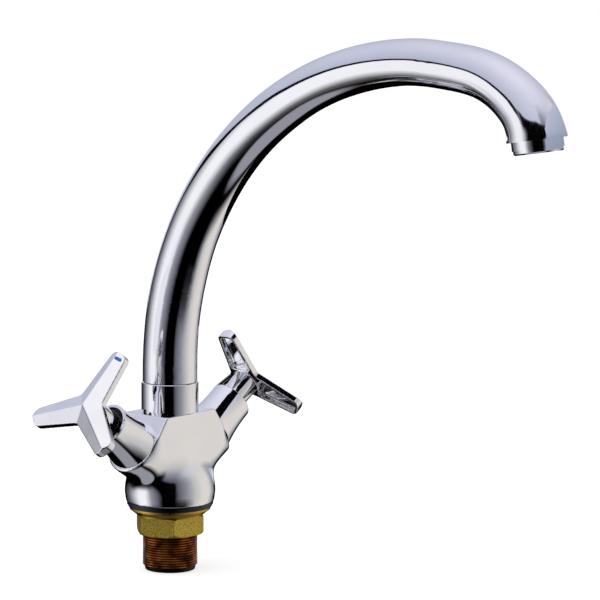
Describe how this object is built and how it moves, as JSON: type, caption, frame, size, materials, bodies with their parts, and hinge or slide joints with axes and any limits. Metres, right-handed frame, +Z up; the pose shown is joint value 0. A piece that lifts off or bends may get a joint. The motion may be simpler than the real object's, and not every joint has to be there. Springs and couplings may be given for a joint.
{
  "type": "two handle kitchen faucet",
  "caption": "Deck-mounted kitchen faucet with an arched swivelling spout, slanted valves with star handles, and a threaded shank with its lock nut.",
  "frame": {"origin": "on the shank's axis, in the plane where the base gasket's underside meets the deck", "axes": "+Z up along the shank, +X the way the spout points at rest, cold valve on the -Y side, hot valve on the +Y side"},
  "size_m": [0.3218, 0.1773, 0.3281],
  "materials": {
    "shank_metal": "dull, machined thread",
    "black_rubber": "satin",
    "washer_rubber": "matte",
    "nut_brass": "cast flats, turned flange",
    "body_chrome": "polished",
    "collar_chrome": "polished",
    "spout_chrome": "polished",
    "aerator_chrome": "polished",
    "bonnet_chrome": "polished",
    "handle_chrome": "polished",
    "turned_brass": "turned",
    "white_plastic": "smooth",
    "aerator_plastic": "smooth",
    "disc_ceramic": "lapped",
    "clip_steel": "bright",
    "fibre_washer": "matte",
    "cold_enamel": "glossy",
    "hot_enamel": "glossy"
  },
  "bodies": {
    "body": {"body_casting": "body_chrome", "mounting_shank": "shank_metal", "base_gasket": "black_rubber", "spout_collar": "collar_chrome", "slide_rings": "white_plastic", "cold_seat_seal": "black_rubber", "cold_fixed_disc": "disc_ceramic", "cold_valve_housing": "turned_brass", "cold_spindle_ring": "black_rubber", "cold_flange_washer": "fibre_washer", "cold_bonnet": "bonnet_chrome", "hot_seat_seal": "black_rubber", "hot_fixed_disc": "disc_ceramic", "hot_valve_housing": "turned_brass", "hot_spindle_ring": "black_rubber", "hot_flange_washer": "fibre_washer", "hot_bonnet": "bonnet_chrome"},
    "spout": {"spout_tube": "spout_chrome", "spout_tail": "turned_brass", "spout_rings": "black_rubber", "aerator_housing": "aerator_chrome", "aerator_insert": "aerator_plastic", "aerator_gasket": "black_rubber"},
    "cold_valve": {"cold_handle": "handle_chrome", "cold_mark": "cold_enamel", "cold_set_screw": "clip_steel", "cold_spindle": "turned_brass", "cold_spindle_clip": "clip_steel", "cold_moving_disc": "disc_ceramic"},
    "hot_valve": {"hot_handle": "handle_chrome", "hot_mark": "hot_enamel", "hot_set_screw": "clip_steel", "hot_spindle": "turned_brass", "hot_spindle_clip": "clip_steel", "hot_moving_disc": "disc_ceramic"},
    "clamp": {"clamp_washer": "washer_rubber"},
    "nut": {"lock_nut": "nut_brass"}
  },
  "joints": [
    {"name": "spout_swivel", "type": "hinge", "parent": "body", "child": "spout", "pos_m": [0, 0, 0.07], "axis": [0, 0, 1], "continuous": true},
    {"name": "cold_turn", "type": "hinge", "parent": "body", "child": "cold_valve", "pos_m": [0, 0, 0.0164], "axis": [0, -0.8192, 0.5736], "range_deg": [0, 90]},
    {"name": "hot_turn", "type": "hinge", "parent": "body", "child": "hot_valve", "pos_m": [0, 0, 0.0164], "axis": [0, 0.8192, 0.5736], "range_deg": [-90, 0]},
    {"name": "clamp_slide", "type": "slide", "parent": "body", "child": "clamp", "axis": [0, 0, -1], "range_m": [0, 0.02]},
    {"name": "nut_turn", "type": "hinge", "parent": "clamp", "child": "nut", "pos_m": [0, 0, -0.01], "axis": [0, 0, -1], "range_deg": [0, 4801]}
  ],
  "couplings": [
    {"joint": "nut_turn", "follows": "clamp_slide", "rad_per_m": 4188.8}
  ]
}
